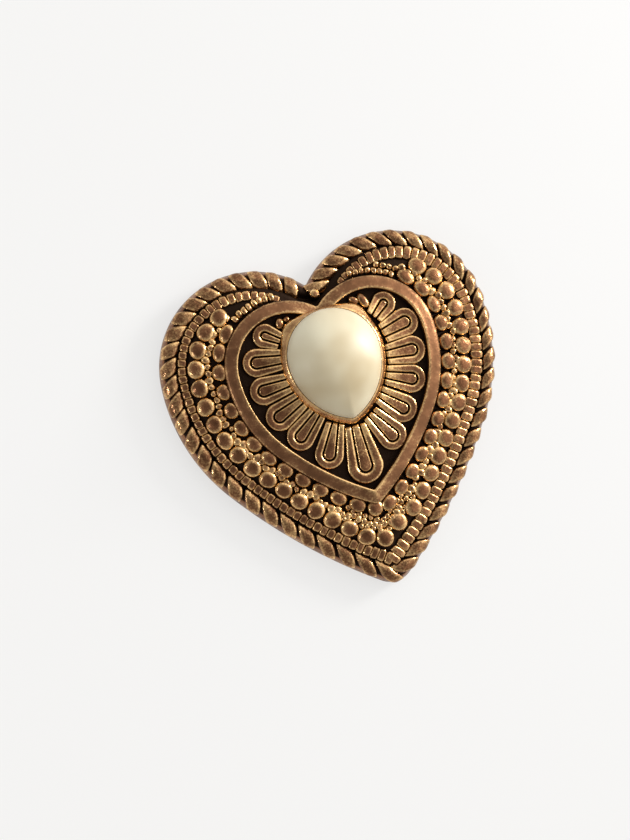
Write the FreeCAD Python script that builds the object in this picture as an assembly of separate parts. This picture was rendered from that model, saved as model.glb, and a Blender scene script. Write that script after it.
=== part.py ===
"""Heart-shaped cast brooch with a pear-cut faux pearl and a swing pin on its back.

Frame: X to the right, Y towards the two lobes, Z out of the front. The origin is the
middle of the heart's outline, level with the rim that the brooch rests on. Millimetres.
"""

import FreeCAD, Part
import math
import os

from FreeCAD import Vector

# ---- casting: heart outlines ------------------------------------------------------------
# A heart is a chain of tangent arcs on each side of X = 0: cleft, lobe, side, taper, tip.
OUTLINE = {
    "lobe_x": 10.68, "lobe_y": 0.0, "lobe_r": 14.26, "lobe_end": 5.3,
    "side_r": 27.5, "side_end": -35.0, "taper_r": 85.0, "tip_r": 3.6, "cleft_r": 0.4,
}
FRAME = {
    "lobe_x": 6.4, "lobe_y": -1.23, "lobe_r": 9.5, "lobe_end": 3.0,
    "side_r": 19.5, "side_end": -36.0, "taper_r": 42.0, "tip_r": 1.2, "cleft_r": 0.4,
}
SMALLEST_TIP_R = 0.3

# Section of the front, from the rim inwards: (inset from the outline, height).
ROPE_SECTION = [(0.35, 0.0), (0.0, 0.9), (0.0, 1.8), (0.3, 2.6), (0.9, 3.2), (1.6, 3.5), (2.4, 3.3)]
LADDER_SECTION = [(2.8, 3.4), (3.0, 4.1), (4.0, 4.2), (4.3, 4.1)]
BEAD_BAND_TOP = (0.6, 5.0)   # inset from the frame's outline, height
# Section of the hollow back, which leaves walls of 1.2 to 2 mm.
RIM_WIDTH = 1.6
HOLLOW_SECTION = [(RIM_WIDTH, -1.0), (RIM_WIDTH, 1.0), (4.4, 2.6)]
HOLLOW_STEP = 3.5
CEILING = 4.6

FRAME_ROOT = 3.9
FRAME_TOP = 7.0
FRAME_WIDTH = 1.9
FRAME_ROUNDING = 0.4
PETAL_GROUND = 5.8

# ---- pearl and its cup -------------------------------------------------------------------
PEARL_R = 6.8            # round end
PEARL_SIDE_R = 10.2      # arcs that run down to the point
PEARL_TIP_R = 1.0
PEARL_Y = 9.4            # centre of the round end
PEARL_BACK = 6.5
PEARL_GIRDLE = 7.9
PEARL_TOP = 12.8
CUP_CLEARANCE = 0.06
CUP_WALL = 0.9
CUP_ROOT_WALL = 1.0
CUP_TOP = 8.2
CUP_FLOOR = 6.2

# ---- swing pin on the back ---------------------------------------------------------------
PIN_Y = 6.0
PIN_Z = 2.0
HINGE_X = -11.0
BAR_HALF_LENGTH = 13.0
BAR_WIDTH = 3.0
BAR_THICKNESS = 0.5
SOLDER_R = 0.6
EAR_THICKNESS = 0.5
EAR_R = 1.4
RIVET_R = 0.45
RIVET_HEAD_R = 0.8
RIVET_HEAD_HEIGHT = 0.35
RUNNING_CLEARANCE = 0.05
STEM_ROOT_R = 1.15
STEM_ROOT_PLAY = 0.15
STEM_R = 0.4
STEM_COLLAR_R = 0.65
STEM_COLLAR_LENGTH = 1.6
STEM_TIP_X = 13.4
STEM_POINT_LENGTH = 4.4
STEM_POINT_R = 0.05

CATCH_X = 9.6
CATCH_LENGTH = 2.0
CATCH_R = 1.6
CATCH_BORE_R = 1.2
CATCH_SLOT = 1.0
CATCH_NECK = 1.0
CATCH_FOOT_HEIGHT = 0.4
ROLLER_CLEARANCE = 0.04
ROLLER_BORE_R = 0.55
ROLLER_FLANGE_R = 1.5
ROLLER_FLANGE = 0.35
ROLLER_END_PLAY = 0.08
TAB_REACH = 2.2
TAB_WIDTH = 1.0
TAB_REST_ANGLE = -42.0

BAR_UNDERSIDE = CEILING - BAR_THICKNESS


def polar(centre, radius, degrees):
    """Point at an angle on a circle in the XY plane."""
    angle = math.radians(degrees)
    return Vector(centre.x + radius * math.cos(angle), centre.y + radius * math.sin(angle), centre.z)


def bearing(start, end):
    """Direction from one point to another, in degrees."""
    return math.degrees(math.atan2(end.y - start.y, end.x - start.x))


def arc(centre, radius, first, last):
    """Circular edge between two angles, in degrees."""
    middle = (first + last) / 2
    points = [polar(centre, radius, degrees) for degrees in (first, middle, last)]
    return Part.Arc(*points).toShape()


def mirrored(edge):
    """The same edge on the other side of X = 0."""
    return edge.mirror(Vector(0, 0, 0), Vector(1, 0, 0))


def heart_edges(heart, inset, z, shift_y):
    """Right half of a heart outline, moved inwards by inset, as edges from cleft to tip."""
    lobe = Vector(heart["lobe_x"], heart["lobe_y"] + shift_y, z)
    side = polar(lobe, heart["lobe_r"] - heart["side_r"], heart["lobe_end"])
    taper = polar(side, heart["side_r"] - heart["taper_r"], heart["side_end"])

    cleft_reach = heart["lobe_r"] + heart["cleft_r"]
    cleft = Vector(0, lobe.y + math.sqrt(cleft_reach**2 - lobe.x**2), z)
    cleft_angle = bearing(lobe, cleft)

    tip_r = max(heart["tip_r"] - inset, SMALLEST_TIP_R)
    tip_reach = heart["taper_r"] - inset - tip_r
    tip = Vector(0, taper.y - math.sqrt(tip_reach**2 - taper.x**2), z)
    tip_angle = bearing(taper, tip)

    return [
        arc(cleft, heart["cleft_r"] + inset, -90, cleft_angle - 180),
        arc(lobe, heart["lobe_r"] - inset, cleft_angle, heart["lobe_end"]),
        arc(side, heart["side_r"] - inset, heart["lobe_end"], heart["side_end"]),
        arc(taper, heart["taper_r"] - inset, heart["side_end"], tip_angle),
        arc(tip, tip_r, tip_angle, -90),
    ]


def outline_shift():
    """Distance in Y that puts the middle of the heart's outline on the origin."""
    top = OUTLINE["lobe_y"] + OUTLINE["lobe_r"]
    tip = heart_edges(OUTLINE, 0, 0, 0)[-1].BoundBox.YMin
    return -(top + tip) / 2


SHIFT_Y = outline_shift()


def heart_wire(heart, inset, z):
    """Closed heart outline at a height."""
    right = heart_edges(heart, inset, z, SHIFT_Y)
    left = [mirrored(edge) for edge in right]
    return Part.Wire(Part.__sortEdges__(right + left))


def pear_wire(inset, z):
    """Closed outline of the pearl, moved inwards by inset, at a height."""
    round_end = Vector(0, PEARL_Y, z)
    side = Vector(PEARL_R - PEARL_SIDE_R, PEARL_Y, z)
    tip_r = max(PEARL_TIP_R - inset, SMALLEST_TIP_R)
    tip_reach = PEARL_SIDE_R - inset - tip_r
    tip = Vector(0, side.y - math.sqrt(tip_reach**2 - side.x**2), z)
    tip_angle = bearing(side, tip)
    right = [
        arc(round_end, PEARL_R - inset, 90, 0),
        arc(side, PEARL_SIDE_R - inset, 0, tip_angle),
        arc(tip, tip_r, tip_angle, -90),
    ]
    left = [mirrored(edge) for edge in right]
    return Part.Wire(Part.__sortEdges__(right + left))


def stack(wires):
    """Closed solid through a stack of outlines, with straight sides between them."""
    return Part.makeLoft(wires, True, True)


def cylinder_along_x(radius, start, end):
    """Cylinder on the pin's axis."""
    return Part.makeCylinder(radius, end - start, Vector(start, PIN_Y, PIN_Z), Vector(1, 0, 0))


def slot_below_axis(start, end, depth):
    """Block as wide as the catch's slot, from the pin's axis down."""
    corner = Vector(start, PIN_Y - CATCH_SLOT / 2, PIN_Z - depth)
    return Part.makeBox(end - start, CATCH_SLOT, depth, corner)


def heart_casting():
    """Domed casting: rope border, ladder row, bead band, frame ring and pearl cup."""
    border = ROPE_SECTION + LADDER_SECTION
    shell_wires = [heart_wire(OUTLINE, inset, z) for inset, z in border]
    shell_wires.append(heart_wire(FRAME, *BEAD_BAND_TOP))
    shell = stack(shell_wires)

    ring = stack([
        heart_wire(FRAME, 0.0, FRAME_ROOT),
        heart_wire(FRAME, 0.0, FRAME_TOP - FRAME_ROUNDING),
        heart_wire(FRAME, FRAME_ROUNDING, FRAME_TOP),
    ])
    ring_inside = stack([
        heart_wire(FRAME, FRAME_WIDTH, PETAL_GROUND),
        heart_wire(FRAME, FRAME_WIDTH - FRAME_ROUNDING, FRAME_TOP + 0.1),
    ])
    cup = stack([pear_wire(-CUP_ROOT_WALL, FRAME_ROOT), pear_wire(-CUP_WALL, CUP_TOP)])
    cup_inside = stack([pear_wire(-CUP_CLEARANCE, CUP_FLOOR), pear_wire(-CUP_CLEARANCE, CUP_TOP + 1)])

    hollow_wires = [heart_wire(OUTLINE, inset, z) for inset, z in HOLLOW_SECTION]
    hollow_wires.append(heart_wire(FRAME, 0, HOLLOW_STEP))
    hollow_wires.append(heart_wire(FRAME, 1.2, CEILING))
    hollow = stack(hollow_wires)

    front = shell.fuse(ring).cut(ring_inside).fuse(cup).cut(cup_inside)
    return front.cut(hollow)


def pearl_cabochon():
    """Flat-backed pear with a high round dome."""
    wires = [pear_wire(0, PEARL_BACK), pear_wire(0, PEARL_GIRDLE)]
    for degrees in (15, 30, 45, 60, 72, 82):
        angle = math.radians(degrees)
        inset = PEARL_R * (1 - math.cos(angle))
        height = PEARL_GIRDLE + (PEARL_TOP - PEARL_GIRDLE) * math.sin(angle)
        wires.append(pear_wire(inset, height))
    wires.append(pear_wire(PEARL_R - 0.4, PEARL_TOP))
    return stack(wires)


def cabochon_adhesive():
    """Layer of glue between the cup's floor and the pearl's flat back."""
    return stack([pear_wire(0, CUP_FLOOR), pear_wire(0, PEARL_BACK)])


def pin_bar():
    """Stamped bar with two ears folded down at the hinge end."""
    bar = Part.makeBox(
        2 * BAR_HALF_LENGTH, BAR_WIDTH, BAR_THICKNESS,
        Vector(-BAR_HALF_LENGTH, PIN_Y - BAR_WIDTH / 2, BAR_UNDERSIDE),
    )
    corners = [edge for edge in bar.Edges if abs(edge.tangentAt(edge.FirstParameter).z) > 0.5]
    bar = bar.makeFillet(0.4, corners)
    for ear_y in (PIN_Y - BAR_WIDTH / 2, PIN_Y + BAR_WIDTH / 2 - EAR_THICKNESS):
        web = Part.makeBox(
            2 * EAR_R, EAR_THICKNESS, BAR_UNDERSIDE - PIN_Z, Vector(HINGE_X - EAR_R, ear_y, PIN_Z)
        )
        eye = Part.makeCylinder(
            EAR_R, EAR_THICKNESS, Vector(HINGE_X, ear_y, PIN_Z), Vector(0, 1, 0)
        )
        bar = bar.fuse(web).fuse(eye)
    hole = Part.makeCylinder(
        RIVET_R, BAR_WIDTH, Vector(HINGE_X, PIN_Y - BAR_WIDTH / 2, PIN_Z), Vector(0, 1, 0)
    )
    return bar.cut(hole).removeSplitter()


def solder_joints():
    """A fillet of solder across each end of the bar, between it and the casting."""
    fillets = []
    for side in (-1, 1):
        end_x = side * BAR_HALF_LENGTH
        start = Vector(end_x, PIN_Y - BAR_WIDTH / 2 + 0.4, CEILING)
        rod = Part.makeCylinder(SOLDER_R, BAR_WIDTH - 0.8, start, Vector(0, 1, 0))
        corner = Vector(min(end_x, end_x + side * SOLDER_R), PIN_Y - BAR_WIDTH, CEILING - SOLDER_R)
        fillets.append(rod.common(Part.makeBox(SOLDER_R, 2 * BAR_WIDTH, SOLDER_R, corner)))
    return Part.makeCompound(fillets)


def hinge_rivet():
    """Rivet through both ears, with a head on each side."""
    half = BAR_WIDTH / 2
    along = Vector(0, 1, 0)
    shank = Part.makeCylinder(RIVET_R, BAR_WIDTH, Vector(HINGE_X, PIN_Y - half, PIN_Z), along)
    rivet = shank
    for start_y in (PIN_Y - half - RIVET_HEAD_HEIGHT, PIN_Y + half):
        head = Part.makeCylinder(
            RIVET_HEAD_R, RIVET_HEAD_HEIGHT, Vector(HINGE_X, start_y, PIN_Z), along
        )
        rivet = rivet.fuse(head)
    return rivet


def pin_stem():
    """Needle with a flattened eye at its root, a collar and a long point."""
    half = BAR_WIDTH / 2 - EAR_THICKNESS - STEM_ROOT_PLAY
    along = Vector(0, 1, 0)
    eye = Part.makeCylinder(STEM_ROOT_R, 2 * half, Vector(HINGE_X, PIN_Y - half, PIN_Z), along)
    collar_end = HINGE_X + EAR_R + STEM_COLLAR_LENGTH
    point_start = STEM_TIP_X - STEM_POINT_LENGTH
    collar = cylinder_along_x(STEM_COLLAR_R, HINGE_X + STEM_ROOT_R / 2, collar_end)
    shank = cylinder_along_x(STEM_R, HINGE_X + STEM_ROOT_R / 2, point_start)
    point = Part.makeCone(
        STEM_R, STEM_POINT_R, STEM_POINT_LENGTH, Vector(point_start, PIN_Y, PIN_Z), Vector(1, 0, 0)
    )
    hole = Part.makeCylinder(
        RIVET_R + RUNNING_CLEARANCE, BAR_WIDTH, Vector(HINGE_X, PIN_Y - BAR_WIDTH / 2, PIN_Z), along
    )
    return eye.fuse(collar).fuse(shank).fuse(point).cut(hole)


def catch_housing():
    """C-shaped barrel on a foot, open on the side that faces away from the bar."""
    end = CATCH_X + CATCH_LENGTH
    barrel = cylinder_along_x(CATCH_R, CATCH_X, end)
    neck = Part.makeBox(
        CATCH_LENGTH, CATCH_NECK, BAR_UNDERSIDE - PIN_Z, Vector(CATCH_X, PIN_Y - CATCH_NECK / 2, PIN_Z)
    )
    foot = Part.makeBox(
        CATCH_LENGTH, BAR_WIDTH - 0.4, CATCH_FOOT_HEIGHT,
        Vector(CATCH_X, PIN_Y - BAR_WIDTH / 2 + 0.2, BAR_UNDERSIDE - CATCH_FOOT_HEIGHT),
    )
    bore = cylinder_along_x(CATCH_BORE_R, CATCH_X - 1, end + 1)
    slot = slot_below_axis(CATCH_X - 1, end + 1, CATCH_R + 1)
    return barrel.fuse(neck).fuse(foot).cut(bore).cut(slot)


def catch_roller():
    """Split sleeve held between two flanges, with a thumb tab on the outer one."""
    end = CATCH_X + CATCH_LENGTH
    inner_face = CATCH_X - ROLLER_END_PLAY
    outer_face = end + ROLLER_END_PLAY
    sleeve = cylinder_along_x(CATCH_BORE_R - ROLLER_CLEARANCE, inner_face, outer_face)
    inner_flange = cylinder_along_x(ROLLER_FLANGE_R, inner_face - ROLLER_FLANGE, inner_face)
    outer_flange = cylinder_along_x(ROLLER_FLANGE_R, outer_face, outer_face + ROLLER_FLANGE)
    tab = Part.makeBox(
        ROLLER_FLANGE, TAB_REACH - 1, TAB_WIDTH, Vector(outer_face, PIN_Y + 1, PIN_Z - TAB_WIDTH / 2)
    )
    tab.rotate(Vector(0, PIN_Y, PIN_Z), Vector(1, 0, 0), TAB_REST_ANGLE)
    bore = cylinder_along_x(ROLLER_BORE_R, CATCH_X - 2, end + 2)
    slot = slot_below_axis(CATCH_X - 2, end + 2, ROLLER_FLANGE_R + 1)
    roller = sleeve.fuse(inner_flange).fuse(outer_flange).fuse(tab)
    return roller.cut(bore).cut(slot)


NODES = [
    heart_casting,
    pearl_cabochon,
    cabochon_adhesive,
    pin_bar,
    solder_joints,
    hinge_rivet,
    pin_stem,
    catch_housing,
    catch_roller,
]

os.makedirs("parts", exist_ok=True)
for make_node in NODES:
    make_node().exportStep("parts/" + make_node.__name__ + ".step")
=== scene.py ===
"""Looks of the heart brooch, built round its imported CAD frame.

Lengths in this script are millimetres in the frame's own axes, and MM turns them into metres.
A heart or pear outline is the chain of tangent arcs that the CAD casting is made from. The
relief of the casting is built on those outlines: each element is a mesh with a vertex value
"rub" that says how far handling has polished it back to gold.
"""

import math

import bmesh
import bpy
import numpy as np
from mathutils import Matrix, Vector


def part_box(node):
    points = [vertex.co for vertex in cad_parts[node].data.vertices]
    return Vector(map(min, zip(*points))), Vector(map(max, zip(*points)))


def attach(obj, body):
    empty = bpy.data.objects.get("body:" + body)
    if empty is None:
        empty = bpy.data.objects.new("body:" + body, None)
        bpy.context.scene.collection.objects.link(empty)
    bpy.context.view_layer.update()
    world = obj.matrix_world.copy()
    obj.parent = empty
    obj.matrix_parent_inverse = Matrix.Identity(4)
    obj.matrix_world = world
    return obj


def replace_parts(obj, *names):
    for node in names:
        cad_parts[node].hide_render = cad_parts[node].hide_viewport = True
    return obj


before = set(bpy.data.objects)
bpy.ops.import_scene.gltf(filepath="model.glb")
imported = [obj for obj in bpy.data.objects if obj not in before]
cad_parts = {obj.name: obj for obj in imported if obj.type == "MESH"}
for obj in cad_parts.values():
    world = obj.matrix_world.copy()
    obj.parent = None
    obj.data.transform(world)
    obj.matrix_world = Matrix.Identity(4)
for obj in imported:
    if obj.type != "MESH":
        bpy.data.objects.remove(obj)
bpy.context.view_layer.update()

MM = 0.001
BODY = "brooch_body"

# ---- outlines ------------------------------------------------------------------------------------
OUTLINE = {
    "lobe_x": 10.68, "lobe_y": 0.0, "lobe_r": 14.26, "lobe_end": 5.3,
    "side_r": 27.5, "side_end": -35.0, "taper_r": 85.0, "tip_r": 3.6, "cleft_r": 0.4,
}
FRAME = {
    "lobe_x": 6.4, "lobe_y": -1.23, "lobe_r": 9.5, "lobe_end": 3.0,
    "side_r": 19.5, "side_end": -36.0, "taper_r": 42.0, "tip_r": 1.2, "cleft_r": 0.4,
}
SMALLEST_TIP_R = 0.3
ARC_STEPS = (12, 72, 44, 64, 14)      # samples on the cleft, lobe, side, taper and tip arcs
PEARL_TIP_R = 1.0
PEARL_SIDE_R = 10.2

CAST_LOW, CAST_HIGH = (np.array(corner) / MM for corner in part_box("heart_casting"))
PEARL_LOW, PEARL_HIGH = (np.array(corner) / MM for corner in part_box("pearl_cabochon"))
RIM = CAST_LOW[2]
PEARL_R = (PEARL_HIGH[0] - PEARL_LOW[0]) / 2
PEARL_Y = PEARL_HIGH[1] - PEARL_R

# ---- heights of the front, above the rim ---------------------------------------------------------
ROPE_EDGE = 0.16          # inset of the roll's outer foot
ROPE_AXIS_INSET = 1.35
ROPE_AXIS_Z = 1.85
ROPE_CORE_R = (0.98, 1.0)     # half width and rise of the dark roll under the strands
STRAND_RISE = 1.12            # rise of a strand's middle line above the axis
LADDER_INSET = 3.3
LADDER_Z = 3.5
BEAD_FLOOR = (3.85, 4.75)     # at the ladder, at the frame band
BAND_TOP = 6.75
PETAL_FLOOR = (5.35, 5.9)     # at the frame band, at the cup

# ---- section of the shell ------------------------------------------------------------------------
CEILING = 4.6             # of the hollow back, above the rim
HOLLOW_STEPS = [          # outline, inset, height, from the ceiling out to the rim
    (FRAME, 1.3, CEILING), (FRAME, 1.0, 4.45), (FRAME, 0.0, 3.5), (OUTLINE, 4.4, 2.6), (OUTLINE, 2.6, 1.75),
    (OUTLINE, 1.62, 1.0), (OUTLINE, 1.62, 0.15), (OUTLINE, 1.6, 0.0), (OUTLINE, 1.0, 0.0),
]
WALL_STEPS = [(0.35, 0.0), (0.12, 0.3), (0.03, 0.8), (0.06, 1.3)]       # inset, height, up the outer edge
LEDGE_STEPS = [           # inset, height, from behind the roll to the ladder's inner side
    (2.45, 2.35), (2.6, 3.0), (2.85, 3.3), (3.4, 3.4), (3.9, 3.5), (4.3, 3.7),
]
STRAND_FLOOR = 2.2        # keeps a strand's inner foot out of the hollow back

rng = np.random.default_rng(7)


# ---- curves --------------------------------------------------------------------------------------
def polar(centre, radius, degrees):
    """Point or points on a circle."""
    angle = np.radians(degrees)
    return np.stack([centre[0] + radius * np.cos(angle), centre[1] + radius * np.sin(angle)], -1)


def bearing(start, end):
    """Direction from one point to another, in degrees."""
    return math.degrees(math.atan2(end[1] - start[1], end[0] - start[0]))


def heart_arcs(heart, inset, shift_y):
    """Right half of a heart, moved inwards by inset, from the cleft to the tip.

    Each arc is (centre, radius, first and last bearing).
    """
    lobe = np.array([heart["lobe_x"], heart["lobe_y"] + shift_y])
    side = polar(lobe, heart["lobe_r"] - heart["side_r"], heart["lobe_end"])
    taper = polar(side, heart["side_r"] - heart["taper_r"], heart["side_end"])
    cleft_reach = heart["lobe_r"] + heart["cleft_r"]
    cleft = np.array([0, lobe[1] + math.sqrt(cleft_reach**2 - lobe[0] ** 2)])
    cleft_angle = bearing(lobe, cleft)
    tip_r = max(heart["tip_r"] - inset, SMALLEST_TIP_R)
    tip_reach = heart["taper_r"] - inset - tip_r
    tip = np.array([0, taper[1] - math.sqrt(tip_reach**2 - taper[0] ** 2)])
    tip_angle = bearing(taper, tip)
    return [
        (cleft, heart["cleft_r"] + inset, -90, cleft_angle - 180),
        (lobe, heart["lobe_r"] - inset, cleft_angle, heart["lobe_end"]),
        (side, heart["side_r"] - inset, heart["lobe_end"], heart["side_end"]),
        (taper, heart["taper_r"] - inset, heart["side_end"], tip_angle),
        (tip, tip_r, tip_angle, -90),
    ]


def arcs_to_loop(arcs, steps):
    """Closed loop of points, clockwise seen from the front, from half an outline's arcs."""
    half = [polar(c, r, np.linspace(a, b, n, endpoint=False)) for (c, r, a, b), n in zip(arcs, steps)]
    centre, radius, _, last = arcs[-1]
    right = np.vstack(half + [polar(centre, radius, np.array([last]))])
    left = right[-2:0:-1] * [-1, 1]
    return np.vstack([right, left])


def outline_shift():
    """Shift in Y that puts the outline's box on the CAD casting's box."""
    loop = arcs_to_loop(heart_arcs(OUTLINE, 0, 0), ARC_STEPS)
    return (CAST_LOW[1] + CAST_HIGH[1] - loop[:, 1].min() - loop[:, 1].max()) / 2


SHIFT_Y = outline_shift()


def heart_loop(heart, inset):
    """A heart's outline, moved inwards by inset and set on the CAD casting."""
    return arcs_to_loop(heart_arcs(heart, inset, SHIFT_Y), ARC_STEPS)


def pear_loop(inset, steps=(60, 44, 10)):
    """The pearl's outline, moved inwards by inset."""
    side = np.array([PEARL_R - PEARL_SIDE_R, PEARL_Y])
    tip_r = max(PEARL_TIP_R - inset, SMALLEST_TIP_R)
    tip_reach = PEARL_SIDE_R - inset - tip_r
    tip = np.array([0, side[1] - math.sqrt(tip_reach**2 - side[0] ** 2)])
    tip_angle = bearing(side, tip)
    arcs = [
        (np.array([0, PEARL_Y]), PEARL_R - inset, 90, 0),
        (side, PEARL_SIDE_R - inset, 0, tip_angle),
        (tip, tip_r, tip_angle, -90),
    ]
    return arcs_to_loop(arcs, steps)


class Track:
    """A closed loop that can be walked by arc length, clockwise seen from the front."""

    def __init__(self, loop):
        self.loop = np.vstack([loop, loop[:1]])
        steps = np.linalg.norm(np.diff(self.loop, axis=0), axis=1)
        self.s = np.concatenate([[0], np.cumsum(steps)])
        self.length = self.s[-1]

    def at(self, s):
        s = np.mod(s, self.length)
        return np.stack([np.interp(s, self.s, self.loop[:, k]) for k in (0, 1)], -1)

    def tangent(self, s, reach=0.25):
        step = self.at(s + reach) - self.at(s - reach)
        return step / np.linalg.norm(step, axis=-1, keepdims=True)

    def inward(self, s, reach=0.25):
        t = self.tangent(s, reach)
        return np.stack([t[..., 1], -t[..., 0]], -1)


# ---- meshes --------------------------------------------------------------------------------------
class Relief:
    """Vertices, faces and rub values of one piece, gathered from many elements."""

    def __init__(self):
        self.verts, self.faces, self.rub, self.count = [], [], [], 0

    def add(self, verts, faces, rub):
        self.verts.append(np.asarray(verts, float))
        self.faces.extend([tuple(int(i) + self.count for i in face) for face in faces])
        self.rub.append(np.broadcast_to(np.asarray(rub, float), (len(verts),)))
        self.count += len(verts)

    def piece(self, name, material, body=BODY):
        mesh = bpy.data.meshes.new(name)
        mesh.from_pydata((np.vstack(self.verts) * MM).tolist(), [], self.faces)
        layer = mesh.attributes.new("rub", "FLOAT", "POINT")
        layer.data.foreach_set("value", np.concatenate(self.rub).astype(np.float32))
        work = bmesh.new()
        work.from_mesh(mesh)
        bmesh.ops.recalc_face_normals(work, faces=work.faces)
        work.to_mesh(mesh)
        work.free()
        mesh.polygons.foreach_set("use_smooth", [True] * len(mesh.polygons))
        mesh.update()
        obj = bpy.data.objects.new(name, mesh)
        bpy.context.scene.collection.objects.link(obj)
        obj.data.materials.append(material)
        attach(obj, body)
        return obj


def ring_faces(rings, around, closed=True):
    """Quads between successive rings of the same number of points."""
    faces = []
    last = around if closed else around - 1
    for i in range(rings - 1):
        for j in range(last):
            k = (j + 1) % around
            faces.append((i * around + j, i * around + k, (i + 1) * around + k, (i + 1) * around + j))
    return faces


def add_rings(relief, rings, rub, point_first=None, point_last=None):
    """A closed skin through rings (each n by 3), ended by points where they are given."""
    around = len(rings[0])
    verts = np.vstack(rings)
    faces = ring_faces(len(rings), around)
    values = np.concatenate([np.full(around, value) if np.isscalar(value) else value for value in rub])
    if point_first is not None:
        faces += [(len(verts), (j + 1) % around, j) for j in range(around)]
        verts = np.vstack([verts, point_first])
        values = np.append(values, rub[0] if np.isscalar(rub[0]) else rub[0].mean())
    if point_last is not None:
        base = (len(rings) - 1) * around
        faces += [(len(verts), base + j, base + (j + 1) % around) for j in range(around)]
        verts = np.vstack([verts, point_last])
        values = np.append(values, rub[-1] if np.isscalar(rub[-1]) else rub[-1].mean())
    relief.add(verts, faces, values)


def at_height(loop, z):
    """Points in plan, lifted to a height or to one height each."""
    return np.column_stack([loop, np.broadcast_to(z, (len(loop),))])


BLACK = -1.0             # rub of a surface that keeps all its black patina
BACK_RUB = 0.25
PEBBLE_PROFILE = [   # share of the radius, share of the height, rub
    (1.02, 0.0, BLACK), (1.02, 0.2, -0.7), (1.0, 0.42, 0.0), (0.96, 0.62, 0.4), (0.87, 0.81, 0.78),
    (0.73, 0.94, 0.55), (0.5, 1.04, 0.2), (0.25, 1.09, 0.05),
]


def add_pebble(relief, centre, along, radii, height, lean=0.0, power=2.0, steps=22, dish=0.0, wobble=0.03,
               rub=1.0, root=0.4):
    """A cast bead, tile or grain: a flat-topped button with a worn edge.

    along is its length direction in plan, radii its half sizes along and across, lean how far
    (in degrees) its top faces to the left of along, power how square its outline is, and root
    how deep it goes into the ground.
    """
    along = np.array([along[0], along[1], 0.0])
    across = np.array([-along[1], along[0], 0.0])
    up = np.array([0, 0, math.cos(math.radians(lean))]) + across * math.sin(math.radians(lean))
    across = np.cross(up, along)
    theta = np.linspace(0, 2 * math.pi, steps, endpoint=False)
    phase = rng.uniform(0, 2 * math.pi, 3)
    c, s = np.cos(theta), np.sin(theta)
    r = (np.abs(c) ** power + np.abs(s) ** power) ** (-1 / power)
    r = r * (1 + wobble * (np.sin(2 * theta + phase[0]) + 0.7 * np.sin(3 * theta + phase[1])))
    tilt = wobble * 2.5 * np.cos(theta + phase[2])
    rings, rubs = [], []
    for share, level, value in PEBBLE_PROFILE:
        lift = height * (level + tilt * share * (level > 0.5) - dish * max(0, 1 - share / 0.6) * (level > 1))
        if level == 0:
            lift = lift - root
        plan = (r * share * c * radii[0])[:, None] * along + (r * share * s * radii[1])[:, None] * across
        rings.append(centre + plan + np.outer(lift * np.ones(steps), up))
        rubs.append(value * rub if value > 0 else value)
    top = centre + up * height * (1.1 - dish)
    add_rings(relief, rings, rubs, point_first=rings[0].mean(0), point_last=top)


# ---- the casting's shell -------------------------------------------------------------------------
def lerp(a, b, t):
    """Blend from a to b."""
    return a + (b - a) * t


def casting_shell():
    """Rope core, ladder ledge, bead ground and petal ground on the front, and the hollow back."""
    centre = np.array([0, PEARL_Y - 2.0])
    back = [(heart_loop(heart, inset), z) for heart, inset, z in HOLLOW_STEPS]
    back = [(lerp(back[0][0], centre, t), CEILING) for t in (0.65, 0.3)] + back
    wall = [(heart_loop(OUTLINE, inset), z) for inset, z in WALL_STEPS]
    front = []
    for degrees in (10, 35, 60, 90, 120, 150):
        angle = math.radians(degrees)
        inset = ROPE_AXIS_INSET - ROPE_CORE_R[0] * math.cos(angle)
        front.append((heart_loop(OUTLINE, inset), ROPE_AXIS_Z + ROPE_CORE_R[1] * math.sin(angle)))
    front += [(heart_loop(OUTLINE, inset), z) for inset, z in LEDGE_STEPS]
    edge, band = heart_loop(OUTLINE, LEDGE_STEPS[-1][0]), heart_loop(FRAME, 0.3)
    for t in (0.33, 0.66, 1.0):
        front.append((lerp(edge, band, t), lerp(BEAD_FLOOR[0], BEAD_FLOOR[1], t)))
    front += [(heart_loop(FRAME, 0.9), 5.1), (heart_loop(FRAME, 1.5), PETAL_FLOOR[0])]
    inner = heart_loop(FRAME, 2.0)
    for t in (0.0, 0.15, 0.3, 0.5, 0.75):
        front.append((lerp(inner, centre, t), lerp(PETAL_FLOOR[0], PETAL_FLOOR[1], min(1, 2 * t))))
    rings = [at_height(loop, RIM + z) for loop, z in back + wall + front]
    rub = [BACK_RUB] * len(back) + [0.3] * len(wall) + [0.1, 0.0] + [BLACK] * (len(front) - 2)
    shell = Relief()
    add_rings(shell, rings, rub, point_first=np.array([*centre, RIM + CEILING]),
              point_last=np.array([*centre, RIM + PETAL_FLOOR[1]]))
    return shell.piece("casting_shell", MATERIALS["gold"])


# ---- rope border ---------------------------------------------------------------------------------
ROPE_LAY = [    # share of the way round from the cleft, pitch, slant in degrees, half width of the roll
    (0.0, 2.45, 50, 1.45), (0.08, 2.5, 44, 1.35), (0.16, 2.75, 38, 1.15), (0.26, 3.0, 36, 1.0),
    (0.42, 3.1, 37, 1.04), (0.5, 3.2, 36, 1.42), (0.58, 3.2, 41, 1.28), (0.7, 3.1, 47, 1.32),
    (0.8, 2.65, 53, 1.38), (1.0, 2.5, 58, 1.42),
]
STRAND_HEIGHT = 0.52


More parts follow.
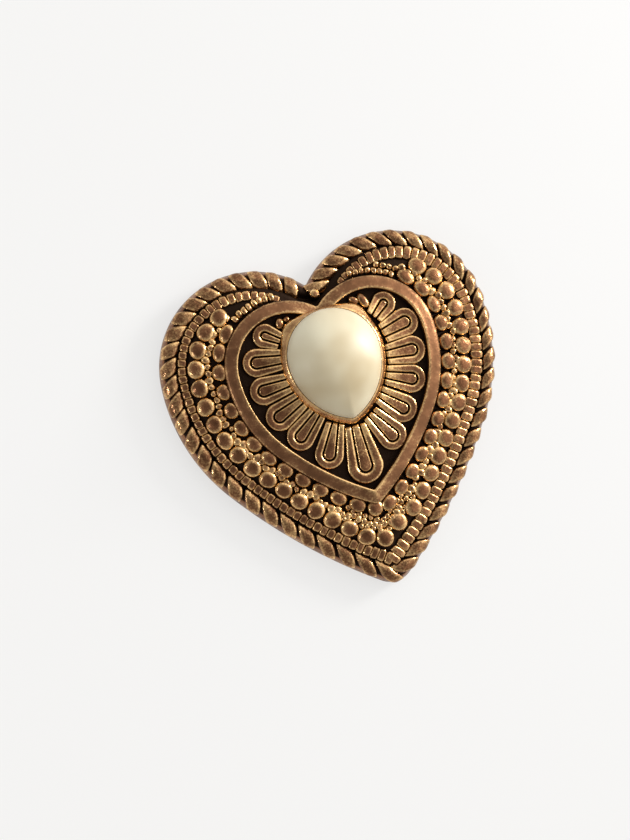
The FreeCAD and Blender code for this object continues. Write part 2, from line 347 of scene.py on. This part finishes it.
def rope_border():
    """Plump strands laid slantwise over the rolled border, all leaning the same way."""
    track = Track(heart_loop(OUTLINE, ROPE_AXIS_INSET))
    share, pitches, slants, reaches = np.array(ROPE_LAY).T
    rope = Relief()
    s = 1.3
    while s < track.length - 0.9:
        way = s / track.length
        pitch, slant, reach = (np.interp(way, share, values) for values in (pitches, slants, reaches))
        slant = math.radians(slant + rng.uniform(-2, 2))
        half_width = 0.55 * pitch * math.sin(slant) * rng.uniform(0.96, 1.04)
        add_strand(rope, track, s, slant, reach * rng.uniform(0.97, 1.03), half_width)
        s += pitch * rng.uniform(0.96, 1.04)
    return rope.piece("rope_border", MATERIALS["gold_rope"])


def add_strand(relief, track, s_middle, slant, reach, half_width, rows=24, around=18):
    """One strand: a pillow that climbs over the roll from its outer foot to its inner foot."""
    t = np.linspace(0.01, 0.99, rows)
    turn = np.radians(lerp(6, 172, t))
    side = -np.cos(turn)
    s = np.clip(s_middle + reach * side / math.tan(slant), 0.15, track.length - 0.15)
    inward = track.inward(s, 0.6)
    offset = ROPE_EDGE + reach * (1 + side) - ROPE_AXIS_INSET
    middle = np.column_stack([track.at(s) + inward * offset[:, None],
                              RIM + ROPE_AXIS_Z + STRAND_RISE * np.sin(turn)])
    normal = np.column_stack([inward * side[:, None], np.sin(turn)])
    tangent = np.gradient(middle, axis=0)
    tangent /= np.linalg.norm(tangent, axis=1, keepdims=True)
    across = np.cross(tangent, normal)
    across /= np.linalg.norm(across, axis=1, keepdims=True)
    blunt = (1 - np.abs(2 * t - 1) ** 4.2) ** 0.5
    width = half_width * blunt * lerp(0.72, 1.0, t ** 0.6)
    height = STRAND_HEIGHT * blunt * np.clip(0.3 + 1.6 * t, 0, 1)
    theta = np.linspace(0, 2 * math.pi, around, endpoint=False)
    c, up = np.cos(theta), np.sin(theta)
    flank, crown = np.sign(c) * np.abs(c) ** 0.85, np.sign(up) * np.abs(up) ** 0.8
    rings, rubs = [], []
    for i in range(rows):
        ring = middle[i] + np.outer(flank * width[i], across[i]) + np.outer(crown * height[i], normal[i])
        if side[i] > 0.3:
            ring[:, 2] = np.maximum(ring[:, 2], RIM + STRAND_FLOOR)
        rings.append(ring)
        shoulder = np.exp(-(((np.abs(c) - 0.72) / 0.16) ** 2)) * (up > 0)
        worn = 0.12 + 0.3 * shoulder + 0.95 * t[i] ** 5 + 0.35 * (1 - t[i]) ** 6
        rubs.append(np.where(up > 0.1, worn, -0.6))
    add_rings(relief, rings, rubs, point_first=middle[0] - tangent[0] * 0.1,
              point_last=middle[-1] + tangent[-1] * 0.1)


# ---- ladder row ----------------------------------------------------------------------------------
LADDER_LAY = [  # share of the way round from the cleft, inset, half length of a tile
    (0.0, 4.4, 0.5), (0.05, 4.2, 0.8), (0.09, 3.75, 1.05), (0.15, 3.35, 1.0), (0.24, 3.16, 0.94),
    (0.44, 3.2, 0.96), (0.485, 3.6, 1.15), (0.515, 3.6, 1.0), (0.54, 3.4, 0.82), (0.62, 3.3, 0.72),
    (0.85, 3.28, 0.68), (0.9, 3.6, 0.85), (0.95, 4.1, 0.8), (1.0, 4.4, 0.5),
]


LADDER_SKIP = 4.2                                       # the row starts this far from the cleft
LADDER_ROOT = ((3.3, 3.7, 4.15), (0.6, 0.5, 0.03))      # depth of a tile's root at these insets


def ladder_row():
    """Tiles shoulder to shoulder just inside the rope, up to where the frame band covers the row."""
    track = Track(heart_loop(OUTLINE, LADDER_INSET))
    share, insets, halves = np.array(LADDER_LAY).T
    ladder = Relief()
    s = LADDER_SKIP
    while s < track.length - LADDER_SKIP:
        pitch = rng.uniform(1.08, 1.26)
        inset, half = (np.interp(s / track.length, share, values) for values in (insets, halves))
        place = track.at(s) + track.inward(s) * (inset - LADDER_INSET)
        z = LADDER_Z + 0.12 * max(0, inset - LADDER_INSET) + rng.uniform(-0.05, 0.05)
        centre = np.array([place[0], place[1], RIM + z])
        crowd = 1 - 0.1 * (inset - LADDER_INSET)
        root = np.interp(inset, *LADDER_ROOT)
        radii = (pitch * 0.52 * crowd, half * rng.uniform(0.94, 1.04))
        from_lobe = math.hypot(abs(place[0]) - FRAME["lobe_x"], place[1] - FRAME["lobe_y"] - SHIFT_Y)
        if from_lobe > FRAME["lobe_r"] or place[1] < 0:     # not under the frame band
            add_pebble(ladder, centre, track.tangent(s), radii, 0.55, lean=10, power=4.5, steps=24, dish=0.1,
                       wobble=0.03, rub=0.85, root=root)
        s += pitch
    return ladder.piece("ladder_row", MATERIALS["gold"])


# ---- beads and grains ----------------------------------------------------------------------------
def bead_floor(point):
    """Height of the ground between the ladder and the frame band, at a point in plan."""
    to_edge = np.linalg.norm(BEAD_EDGE - point, axis=1).min()
    to_band = np.linalg.norm(BEAD_BAND - point, axis=1).min()
    return RIM + lerp(BEAD_FLOOR[0], BEAD_FLOOR[1], to_edge / (to_edge + to_band))


BEAD_EDGE = heart_loop(OUTLINE, LEDGE_STEPS[-1][0])
BEAD_BAND = heart_loop(FRAME, 0.0)
OUTER_ROW_INSET = 5.35      # from the outline
INNER_ROW_INSET = -1.0      # from the frame band
# the runs of a row: first and last place along it, count, shift inwards
OUTER_RUNS = [(17.8, 57.1, 15, 0.0), (67.1, 111.8, 17, 0.0)]
INNER_RUNS = [(16.2, 53.4, 14, 0.0), (58.6, 94.2, 13, 0.4)]
CLEFT_STRETCH = (15.5, 8)   # a row ends this far from the cleft, and its beads get longer over this length
# place, radius of the beads in the tip's corner
TIP_BEADS = [((2.25, -16.65), 1.44), ((-0.3, -18.3), 1.42), ((-0.45, -13.7), 1.28)]


def row_of_beads(relief, track, runs, radii, height, lean, end_stretch):
    """Beads spread evenly along stretches of a row; the ones by the cleft are longer."""
    for first, last, count, shift in runs:
        for s in np.linspace(first, last, count):
            offset = shift + rng.uniform(-0.06, 0.06)
            place = track.at(s) + track.inward(s) * offset
            past_end = min(s, track.length - s) - CLEFT_STRETCH[0]
            near_cleft = max(0.0, 1 - past_end / CLEFT_STRETCH[1])
            half_length = radii[0] * rng.uniform(0.97, 1.03) * (1 + end_stretch * near_cleft)
            half_width = radii[1] * rng.uniform(0.96, 1.04)
            centre = np.array([place[0], place[1], bead_floor(place)])
            add_pebble(relief, centre, track.tangent(s), (half_length, half_width), height, lean=lean,
                       steps=28, wobble=0.025)


def bead_rows():
    """Outer row of button beads beside the ladder, inner row beside the frame band."""
    beads = Relief()
    outer = Track(heart_loop(OUTLINE, OUTER_ROW_INSET))
    inner = Track(heart_loop(FRAME, INNER_ROW_INSET))
    row_of_beads(beads, outer, OUTER_RUNS, radii=(1.42, 1.38), height=1.12, lean=14, end_stretch=0.0)
    row_of_beads(beads, inner, INNER_RUNS, radii=(1.33, 1.17), height=1.15, lean=12, end_stretch=0.14)
    for (x, y), radius in TIP_BEADS:
        centre = np.array([x, y, bead_floor(np.array([x, y]))])
        add_pebble(beads, centre, (1, 0), (radius, radius), 1.1, steps=28, wobble=0.02)
    return beads.piece("bead_rows", MATERIALS["gold"])


LOBE_GRAINS = [   # side, distance outside the frame, first and last bearing on the lobe, radii
    (-1, 0.85, 58, 94, (0.46, 0.66)), (1, 0.7, 56, 96, (0.46, 0.52)), (1, 1.65, 54, 74, (0.48, 0.48)),
]
GRAIN_START = 15.0              # how far from the cleft the grains between the rows start
TIP_REACH = 7                   # how far from the tip they crowd together
CLEFT_BALL = (0.5, -6.5, 3.7)   # x, y below the casting's top, height above the rim


def grains():
    """Small grains that fill the gaps between the rows, and the ball in the cleft."""
    grain = Relief()
    middle = Track((heart_loop(OUTLINE, 6.75) + heart_loop(FRAME, -2.25)) / 2)
    s = GRAIN_START
    while s < middle.length - GRAIN_START + 1:
        tip = abs(s - middle.length / 2) < TIP_REACH
        place = middle.at(s) + middle.inward(s) * rng.uniform(-0.28, 0.28)
        size = rng.uniform(0.46, 0.68)
        centre = np.array([place[0], place[1], bead_floor(place) + 0.15])
        add_pebble(grain, centre, middle.tangent(s), (size, size * rng.uniform(0.9, 1.3)), 0.75, steps=14,
                   wobble=0.07)
        s += rng.uniform(0.75, 0.9) if tip else rng.uniform(0.85, 1.05)
    for reach in (-0.75, 0.75):
        for s in middle.length / 2 + np.arange(-6, 6.5, 0.92):
            place = middle.at(s) + middle.inward(s) * (reach + rng.uniform(-0.12, 0.12))
            centre = np.array([place[0], place[1], bead_floor(place) + 0.1])
            add_pebble(grain, centre, middle.tangent(s), (0.48, 0.46), 0.75, steps=14, wobble=0.09)
    lobe = np.array([FRAME["lobe_x"], FRAME["lobe_y"] + SHIFT_Y])
    for way, reach, first, last, radii in LOBE_GRAINS:
        for degrees in np.arange(first, last, 5.0):
            place = polar(lobe, FRAME["lobe_r"] + reach + rng.uniform(-0.06, 0.06), degrees) * [way, 1]
            along = polar(np.zeros(2), 1, degrees - 90) * [way, 1]
            centre = np.array([place[0], place[1], bead_floor(place) + 0.1])
            add_pebble(grain, centre, along, radii, 0.75, power=2.8, steps=16, wobble=0.07)
    ball = np.array([0, CAST_HIGH[1], RIM]) + CLEFT_BALL
    add_pebble(grain, ball, (1, 0), (0.78, 0.72), 1.0, steps=18, wobble=0.08)
    return grain.piece("grains", MATERIALS["gold_rubbed"])


# ---- frame band ----------------------------------------------------------------------------------
BAND_PROFILE = [   # inset from the frame's outline, height below the band's top, rub
    (0.1, -2.6, BLACK), (0.0, -1.2, -0.4), (0.02, -0.75, 0.2), (0.12, -0.48, 0.4), (0.35, -0.34, 0.1),
    (0.8, -0.2, 0.0), (1.2, -0.1, 0.05), (1.5, 0.0, 0.15), (1.68, 0.08, 0.45), (1.82, 0.08, 0.75),
    (1.92, -0.05, 0.3), (1.99, -0.5, -0.4), (2.02, -1.8, BLACK),
]


def frame_band():
    """Plain heart-shaped band with a raised lip along its inner edge, brighter at its tip and cleft."""
    band = Relief()
    rings, rubs = [], []
    for inset, drop, value in BAND_PROFILE + BAND_PROFILE[:1]:
        loop = heart_loop(FRAME, inset)
        rings.append(at_height(loop, RIM + BAND_TOP + drop))
        near_axis = np.exp(-((loop[:, 0] / 4.0) ** 2))
        rubs.append(value + 0.2 * near_axis * (value > -0.3))
    add_rings(band, rings, rubs)
    return band.piece("frame_band", MATERIALS["gold_band"])


# ---- petals --------------------------------------------------------------------------------------
PETALS = [   # centre of the outer end, inner end, outer width, inner width
    ((9.5, 14.5), (7.5, 13.0), 3.8, 2.7), ((-8.6, 15.0), (-6.8, 13.6), 3.8, 2.7),
    ((11.7, 11.0), (8.0, 10.3), 4.35, 3.1), ((-10.9, 11.6), (-7.3, 11.0), 4.35, 3.1),
    ((11.5, 6.8), (7.6, 7.2), 4.35, 3.0), ((-11.1, 7.4), (-7.2, 7.5), 4.35, 3.0),
    ((10.25, 2.75), (6.6, 4.4), 4.35, 2.9), ((-10.0, 3.15), (-6.2, 4.6), 4.35, 2.9),
    ((7.75, -1.0), (4.8, 2.0), 4.35, 2.8), ((-7.9, -0.5), (-4.6, 2.1), 4.35, 2.8),
    ((5.0, -4.3), (2.7, -0.3), 4.5, 2.8), ((-4.7, -4.2), (-2.6, -0.1), 4.5, 2.8),
    ((-0.1, -7.3), (0.1, -1.3), 5.6, 3.2),
]
BUDS = [     # place, direction in degrees, half length and half width
    ((6.7, 15.75), 112, (1.3, 0.75)), ((5.35, 16.15), 140, (0.85, 0.6)), ((-6.0, 16.1), 75, (0.85, 0.7)),
    ((-4.9, 16.4), 30, (0.5, 0.45)),
]
PETAL_TOPS = (6.95, 6.3)       # height at a petal's inner end, at its outer end
TONGUE_TOPS = (6.92, 6.27)
PETAL_DEPTH = 0.85
RIDGE_PROFILE = [  # share of the ridge's width, height share, rub
    (-0.02, -0.6, BLACK), (0.0, 0.35, -0.3), (0.06, 0.8, 0.5), (0.16, 0.98, 0.75), (0.36, 1.0, 0.12),
    (0.65, 1.0, 0.12), (0.86, 0.98, 0.75), (0.95, 0.75, 0.5), (1.0, 0.3, -0.3), (1.02, -0.6, BLACK),
]
TONGUE_PROFILE = [  # inset, height share, rub
    (-0.03, -0.6, BLACK), (0.0, 0.4, -0.2), (0.05, 0.82, 0.55), (0.14, 0.98, 0.7), (0.24, 1.0, 0.12),
]


def petal_outline(outer, inner, outer_w, inner_w, inset, steps=18):
    """Open U in plan, and each point's share of the way from the inner end to the outer end."""
    outer, inner = np.array(outer), np.array(inner)
    axis = (outer - inner) / np.linalg.norm(outer - inner)
    side = np.array([-axis[1], axis[0]])
    half_out, half_in = outer_w / 2 - inset, max(inner_w / 2 - inset, 0.06)
    t = np.linspace(0, 1, 12)[:, None]
    going = lerp(inner + side * half_in, outer + side * half_out, t)
    bend = np.linspace(90, -90, steps)[1:-1]
    cap = [outer + half_out * (axis * math.cos(a) + side * math.sin(a)) for a in np.radians(bend)]
    back = lerp(outer - side * half_out, inner - side * half_in, t)
    reach = np.linalg.norm(outer - inner)
    points = np.vstack([going, cap, back])
    share = np.clip(((points - inner) @ axis) / reach, 0, 1)
    return points, share


def polished(value, share):
    """Rub of a petal's point: more gold towards the cup, except on the black parts."""
    return np.where(value > 0, np.clip(value + 0.55 * (1 - share) ** 1.5, 0, 1), value)


def add_petal(relief, outer, inner, outer_w, inner_w):
    """Broad U-shaped ridge with a tongue inside it, a dark groove between the two."""
    ridge_out, ridge_in = (1.75, 0.95) if outer_w > 5 else (1.3, 0.9)
    groove = 0.12
    rings, rubs = [], []
    points, share = petal_outline(outer, inner, outer_w, inner_w, 0.0)
    inside, _ = petal_outline(outer, inner, outer_w - 2 * ridge_out, inner_w - 2 * ridge_in, 0.0)
    top = RIM + lerp(*PETAL_TOPS, share)
    for across, lift, value in RIDGE_PROFILE:
        rings.append(np.column_stack([lerp(points, inside, across), top - PETAL_DEPTH * (1 - lift)]))
        rubs.append(polished(value, share))
    around = len(points)
    faces = [(b, a, d, c) for a, b, c, d in ring_faces(len(rings), around, closed=False)]
    last = (len(rings) - 1) * around
    faces += [(j, j + 1, last + j + 1, last + j) for j in range(around - 1)]
    faces.append(tuple(i * around for i in range(len(rings))))
    faces.append(tuple(i * around + around - 1 for i in range(len(rings)))[::-1])
    relief.add(np.vstack(rings), faces, np.concatenate(rubs))
    add_tongue(relief, outer, inner, outer_w - 2 * (ridge_out + groove), inner_w - 2 * (ridge_in + groove))


def add_tongue(relief, outer, inner, outer_w, inner_w):
    """Raised leaf inside a petal's ridge."""
    inner_w = max(inner_w, 0.5)
    rings, rubs = [], []
    for inset, lift, value in TONGUE_PROFILE:
        points, share = petal_outline(outer, inner, outer_w, inner_w, inset)
        rings.append(np.column_stack([points, RIM + lerp(*TONGUE_TOPS, share) - PETAL_DEPTH * (1 - lift)]))
        rubs.append(polished(value, share))
    around = len(points)
    faces = [(b, a, d, c) for a, b, c, d in ring_faces(len(rings), around)]
    base = (len(rings) - 1) * around
    half = around // 2
    for j in range(half - 1):
        faces.append((base + j, base + j + 1, base + around - 2 - j, base + around - 1 - j))
    faces.append(tuple(range(around)))
    relief.add(np.vstack(rings), faces, np.concatenate(rubs))


def petal_fan():
    """Thirteen petals that fan out from the cup, with small buds above them."""
    fan = Relief()
    for outer, inner, outer_w, inner_w in PETALS:
        add_petal(fan, outer, inner, outer_w, inner_w)
    for (x, y), degrees, radii in BUDS:
        centre = np.array([x, y, RIM + 5.7])
        add_pebble(fan, centre, polar(np.zeros(2), 1, degrees), radii, 1.05, steps=18, root=0.6)
    return fan.piece("petal_fan", MATERIALS["gold"])


# ---- pearl and cup -------------------------------------------------------------------------------
CUP_PROFILE = [    # offset outside the pearl, height, share of the shoulders, rub
    (1.1, 5.3, 1.0, -0.5), (1.0, 6.2, 1.0, 0.1), (0.9, 6.8, 1.0, 0.5), (0.78, 7.15, 0.9, 0.9),
    (0.6, 7.4, 0.55, 0.4), (0.38, 7.65, 0.25, 0.2), (0.2, 7.85, 0.05, 0.6), (0.05, 7.9, 0.0, 0.5),
    (-0.02, 7.8, 0.0, 0.3), (0.02, 6.2, 0.0, 0.0),
]
SHOULDER = (0.6, 47, 15)        # reach, bearing from the pearl's middle in degrees, spread in degrees


def pearl_cup():
    """Collar round the pearl, thin at the top, with a shoulder on each side of the cleft."""
    cup = Relief()
    rings, rubs = [], []
    for offset, z, shoulder, value in CUP_PROFILE:
        loop = pear_loop(-offset)
        spoke = loop - [0, PEARL_Y]
        angle = np.degrees(np.arctan2(spoke[:, 1], np.abs(spoke[:, 0])))
        if offset > 0:
            thin = 1 - 0.6 * np.exp(-(((angle - 90) / 26) ** 2))
            loop = lerp(pear_loop(0), loop, thin[:, None])
        reach, at, spread = SHOULDER
        push = reach * shoulder * np.exp(-(np.abs((angle - at) / spread) ** 2))
        loop = loop + spoke / np.linalg.norm(spoke, axis=1, keepdims=True) * push[:, None]
        rings.append(at_height(loop, RIM + z))
        rubs.append(value)
    rings.append(rings[0])
    add_rings(cup, rings, rubs + [rubs[0]])
    return cup.piece("pearl_cup", MATERIALS["gold_cup"])


def pearl():
    """Pear-shaped cabochon with a smooth high dome."""
    dome = Relief()
    edge = pear_loop(0)
    centre = np.array([0, PEARL_Y - 0.6])
    girdle = PEARL_LOW[2] + 1.4
    rings = [at_height(edge, PEARL_LOW[2]), at_height(edge, lerp(PEARL_LOW[2], girdle, 0.5))]
    for degrees in np.linspace(0, 86, 26):
        share = math.cos(math.radians(degrees))
        rise = math.sin(math.radians(degrees))
        spoke = edge - centre
        reach = np.linalg.norm(spoke, axis=1, keepdims=True)
        pointed = share**8
        ring = centre + spoke / reach * share * lerp(PEARL_R * 0.99, reach, pointed)
        rings.append(at_height(ring, lerp(girdle, PEARL_HIGH[2], rise)))
    add_rings(dome, rings, [0.0] * len(rings), point_first=np.array([0, centre[1], PEARL_LOW[2]]),
              point_last=np.array([0, centre[1], PEARL_HIGH[2]]))
    return dome.piece("faux_pearl", MATERIALS["pearl"])


# ---- materials -----------------------------------------------------------------------------------
class Nodes:
    """Short calls for building a node material."""

    def __init__(self, name):
        self.material = bpy.data.materials.new(name)
        self.material.use_nodes = True
        self.tree = self.material.node_tree
        self.shader = self.tree.nodes["Principled BSDF"]
        self.coords = self.tree.nodes.new("ShaderNodeTexCoord").outputs["Object"]

    def new(self, kind, inputs=None, **settings):
        node = self.tree.nodes.new(kind)
        for key, value in settings.items():
            setattr(node, key, value)
        for key, value in (inputs or {}).items():
            self.put(value, node.inputs[key])
        return node

    def put(self, value, socket):
        if isinstance(value, bpy.types.NodeSocket):
            self.tree.links.new(value, socket)
        else:
            socket.default_value = value

    def noise(self, per_mm, detail=3.0, roughness=0.55):
        inputs = {"Vector": self.coords, "Scale": per_mm / MM, "Detail": detail, "Roughness": roughness}
        return self.new("ShaderNodeTexNoise", inputs).outputs["Fac"]

    def attribute(self, name):
        return self.new("ShaderNodeAttribute", attribute_name=name).outputs["Fac"]

    def math(self, operation, *values, clamp=False):
        inputs = dict(enumerate(values))
        return self.new("ShaderNodeMath", inputs, operation=operation, use_clamp=clamp).outputs[0]

    def mix(self, fac, a, b):
        node = self.tree.nodes.new("ShaderNodeMix")
        node.data_type = "RGBA"
        for socket, value in ((node.inputs[0], fac), (node.inputs[6], a), (node.inputs[7], b)):
            self.put(value, socket)
        return node.outputs[2]

    def ramp(self, value, low, high, to_low=0.0, to_high=1.0):
        inputs = {"Value": value, "From Min": low, "From Max": high, "To Min": to_low, "To Max": to_high}
        node = self.new("ShaderNodeMapRange", inputs)
        node.interpolation_type = "SMOOTHSTEP"
        return node.outputs["Result"]

    def bump(self, height, strength, depth):
        """Give the surface bumps, depth in millimetres."""
        inputs = {"Height": height, "Strength": strength, "Distance": depth * MM}
        self.set(Normal=self.new("ShaderNodeBump", inputs).outputs["Normal"])

    def set(self, **values):
        for key, value in values.items():
            self.put(value, self.shader.inputs[key.replace("_", " ")])


def rgb(red, green, blue):
    return (red, green, blue, 1.0)


def shade(colour, factor):
    """A darker or lighter tone of a colour."""
    return rgb(*(channel * factor for channel in colour[:3]))


# Near-black of the patina in the hollows, also the colour of the painted shade in creases.
PATINA_AND_PAINTED_SHADE = rgb(0.026, 0.015, 0.01)
LACQUER = rgb(0.225, 0.1, 0.048)
BRIGHT_GOLD = rgb(0.92, 0.60, 0.27)


def antique_gold(name, brown=LACQUER, rub_bias=0.0, dent=0.5, sheen=0.22):
    """Gold plate under a brown lacquer: black patina and painted shade in the hollows, rubbed bright along
    the edges.
    """
    n = Nodes(name)
    mottling = n.noise(0.45, detail=3)
    grain = n.noise(3.5, detail=3)
    rub = n.attribute("rub")
    blackened = n.ramp(rub, -0.75, -0.1, 1.0, 0.0)
    uneven = n.math("MULTIPLY_ADD", mottling, 0.9, -0.45)
    speckle = n.math("MULTIPLY_ADD", grain, 1.1, -0.55)
    worn = n.ramp(n.math("ADD", n.math("ADD", rub, rub_bias), n.math("ADD", uneven, speckle)), 0.12, 0.95)
    lacquer = n.mix(n.ramp(mottling, 0.35, 0.68), shade(brown, 0.82), shade(brown, 1.25))
    metal = n.mix(worn, lacquer, BRIGHT_GOLD)
    # Ambient occlusion darkens creases and the gaps between parts towards this black: painted shade, added
    # to the patina that negative rub values give.
    painted_crevice_shade = n.new("ShaderNodeAmbientOcclusion", {"Distance": 0.5 * MM}, samples=8).outputs["AO"]
    dark = n.math("MAXIMUM", blackened, n.ramp(painted_crevice_shade, 0.3, 0.66, 1.0, 0.0))
    n.set(Base_Color=n.mix(dark, metal, PATINA_AND_PAINTED_SHADE))
    n.set(Metallic=1.0)
    rough = n.math("ADD", n.ramp(worn, 0.0, 1.0, sheen, sheen - 0.07), n.math("MULTIPLY", grain, 0.1))
    n.set(Roughness=n.math("ADD", rough, n.math("MULTIPLY", dark, 0.3), clamp=True))
    dents = n.noise(1.3, detail=2)
    height = n.math("MULTIPLY_ADD", grain, 0.3, dents)
    n.bump(height, dent, 0.16)
    return n.material


def pearl_lacquer():
    """Cream nacre lacquer with faint clouding and a soft gloss."""
    n = Nodes("pearl_lacquer")
    cloud = n.noise(0.12, detail=2)
    n.set(Base_Color=n.mix(n.ramp(cloud, 0.22, 0.78), rgb(0.55, 0.445, 0.27), rgb(0.76, 0.70, 0.52)))
    fine = n.noise(0.6, detail=2)
    n.set(Roughness=n.ramp(fine, 0.3, 0.7, 0.42, 0.5))
    n.bump(fine, 0.08, 0.1)
    n.set(Specular_IOR_Level=0.35, Coat_Weight=0.18, Coat_Roughness=0.3)
    n.set(Sheen_Weight=0.25, Sheen_Roughness=0.4)
    return n.material


def plated_steel():
    """Bright plated steel wire and sheet, lightly brushed and a little stained."""
    n = Nodes("plated_steel")
    stain = n.noise(0.35, detail=4)
    streaks = n.noise(6.0, detail=2)
    n.set(Base_Color=n.mix(n.ramp(stain, 0.4, 0.7), rgb(0.60, 0.57, 0.52), rgb(0.42, 0.38, 0.33)))
    n.set(Metallic=1.0, Roughness=n.math("MULTIPLY_ADD", streaks, 0.2, 0.2))
    n.bump(streaks, 0.2, 0.03)
    return n.material


def tin_solder():
    """Dull grey solder with a frosty skin."""
    n = Nodes("tin_solder")
    frost = n.noise(2.2, detail=4)
    n.set(Base_Color=n.mix(frost, rgb(0.33, 0.32, 0.30), rgb(0.58, 0.57, 0.55)))
    n.set(Metallic=0.9, Roughness=n.ramp(frost, 0.3, 0.7, 0.3, 0.55))
    n.bump(frost, 0.5, 0.08)
    return n.material


def clear_epoxy():
    """Yellowed clear adhesive with small bubbles."""
    n = Nodes("clear_epoxy")
    bubbles = n.noise(3.0, detail=2)
    n.set(Base_Color=n.mix(bubbles, rgb(0.50, 0.40, 0.22), rgb(0.66, 0.56, 0.36)))
    n.set(Roughness=n.ramp(bubbles, 0.3, 0.7, 0.12, 0.35))
    n.set(Transmission_Weight=0.35)
    return n.material


MATERIALS = {
    "gold": antique_gold("antique_gold"),
    "gold_rubbed": antique_gold("antique_gold_rubbed", rub_bias=0.3),
    "gold_rope": antique_gold("antique_gold_rope", rub_bias=0.12, dent=0.6, sheen=0.15),
    "gold_band": antique_gold("antique_gold_band", brown=rgb(0.22, 0.103, 0.05), dent=0.3, sheen=0.3),
    "gold_cup": antique_gold("antique_gold_cup", brown=rgb(0.48, 0.26, 0.12)),
    "pearl": pearl_lacquer(),
    "steel": plated_steel(),
    "solder": tin_solder(),
    "epoxy": clear_epoxy(),
}
FINDINGS = {
    "steel": ("pin_bar", "hinge_rivet", "pin_stem", "catch_housing", "catch_roller"),
    "solder": ("solder_joints",),
    "epoxy": ("cabochon_adhesive",),
}


def finish_findings():
    """Give the CAD nodes that stay visible their materials."""
    for key, names in FINDINGS.items():
        for name in names:
            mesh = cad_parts[name].data
            mesh.materials.clear()
            mesh.materials.append(MATERIALS[key])


# ---- build ---------------------------------------------------------------------------------------
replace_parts(casting_shell(), "heart_casting")
for make_piece in (rope_border, ladder_row, bead_rows, grains, frame_band, petal_fan, pearl_cup):
    make_piece()
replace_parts(pearl(), "pearl_cabochon")
finish_findings()

# ---- floor, light and camera ---------------------------------------------------------------------
FLOOR_HALF = 1.2            # metres
FLOOR_Z = RIM * MM - 0.00002


def add_floor():
    """Plain white floor just under the rim, with a glow of its own that keeps it pale."""
    corners = [(x * FLOOR_HALF, y * FLOOR_HALF) for x, y in ((-1, -1), (1, -1), (1, 1), (-1, 1))]
    mesh = bpy.data.meshes.new("floor")
    mesh.from_pydata([(x, y, FLOOR_Z) for x, y in corners], [], [(0, 1, 2, 3)])
    floor = bpy.data.objects.new("floor", mesh)
    bpy.context.scene.collection.objects.link(floor)
    n = Nodes("white_enamel")
    n.set(Base_Color=rgb(0.22, 0.22, 0.22), Roughness=0.6)
    n.set(Emission_Color=rgb(1.0, 0.995, 0.985), Emission_Strength=0.66)
    floor.data.materials.append(n.material)


def add_area(name, place, size, power, colour):
    """Disc lamp aimed at the middle of the object, lengths in metres."""
    data = bpy.data.lights.new(name, "AREA")
    data.shape = "DISK"
    data.size = size
    data.energy = power
    data.color = colour
    lamp = bpy.data.objects.new(name, data)
    lamp.location = place
    lamp.rotation_euler = (-Vector(place)).to_track_quat("-Z", "Y").to_euler()
    bpy.context.scene.collection.objects.link(lamp)


WINDOW_SIDE = Vector((0.80, 0.22, 0.56))
WINDOW_RANGE = (0.2, 1.0, 0.48, 1.55)         # from, to, strength away from the window, strength towards it
OVERHEAD_RANGE = (0.80, 0.975, 1.0, 0.5)      # from, to, share of the light low down, share overhead


def smooth_range(tree, value, limits):
    """A socket that follows value smoothly over the limits."""
    node = tree.nodes.new("ShaderNodeMapRange")
    node.interpolation_type = "SMOOTHSTEP"
    tree.links.new(value, node.inputs["Value"])
    for name, limit in zip(("From Min", "From Max", "To Min", "To Max"), limits):
        node.inputs[name].default_value = limit
    return node.outputs["Result"]


def add_world():
    """Pale room: bright towards the window on the right, dim on the left and overhead."""
    world = bpy.data.worlds.new("room")
    world.use_nodes = True
    tree = world.node_tree
    direction = tree.nodes.new("ShaderNodeTexCoord").outputs["Generated"]
    facing = tree.nodes.new("ShaderNodeVectorMath")
    facing.operation = "DOT_PRODUCT"
    facing.inputs[1].default_value = WINDOW_SIDE
    tree.links.new(direction, facing.inputs[0])
    split = tree.nodes.new("ShaderNodeSeparateXYZ")
    tree.links.new(direction, split.inputs[0])
    strength = tree.nodes.new("ShaderNodeMath")
    strength.operation = "MULTIPLY"
    tree.links.new(smooth_range(tree, facing.outputs["Value"], WINDOW_RANGE), strength.inputs[0])
    tree.links.new(smooth_range(tree, split.outputs["Z"], OVERHEAD_RANGE), strength.inputs[1])
    background = tree.nodes["Background"]
    background.inputs["Color"].default_value = (1.0, 0.985, 0.96, 1.0)
    tree.links.new(strength.outputs[0], background.inputs["Strength"])
    bpy.context.scene.world = world


CAMERA_DISTANCE = 0.300
CAMERA_LEAN_X = -7.35      # degrees off the vertical, towards the heart's left
CAMERA_LEAN_Y = 0.8        # degrees towards the heart's top
CAMERA_ROLL = 17.42        # the heart stands turned this far anticlockwise
CAMERA_TARGET = Vector((-4.636, 1.126, 1.5)) * MM
CAMERA_LENS = 87.08


def add_camera():
    """Nearly overhead, with the object turned in the view as in the photo."""
    lean_x, lean_y = math.sin(math.radians(CAMERA_LEAN_X)), math.sin(math.radians(CAMERA_LEAN_Y))
    out = Vector((lean_x, lean_y, math.sqrt(1 - lean_x**2 - lean_y**2)))
    roll = math.radians(CAMERA_ROLL)
    right = Vector((math.sin(roll), math.cos(roll), 0)).cross(out).normalized()
    up = out.cross(right)
    data = bpy.data.cameras.new("camera")
    data.lens = CAMERA_LENS
    data.clip_start = 0.01
    camera = bpy.data.objects.new("camera", data)
    axes = Matrix((right, up, out)).transposed().to_4x4()
    camera.matrix_world = Matrix.Translation(CAMERA_TARGET + out * CAMERA_DISTANCE) @ axes
    bpy.context.scene.collection.objects.link(camera)
    bpy.context.scene.camera = camera


add_floor()
add_world()
add_area("window", (0.36, 0.08, 0.15), 0.12, 1.3, (1.0, 0.98, 0.95))
add_area("side_lamp", (-0.30, 0.0, 0.15), 0.035, 0.12, (0.92, 0.96, 1.0))
add_camera()
bpy.context.scene.view_settings.view_transform = "Standard"
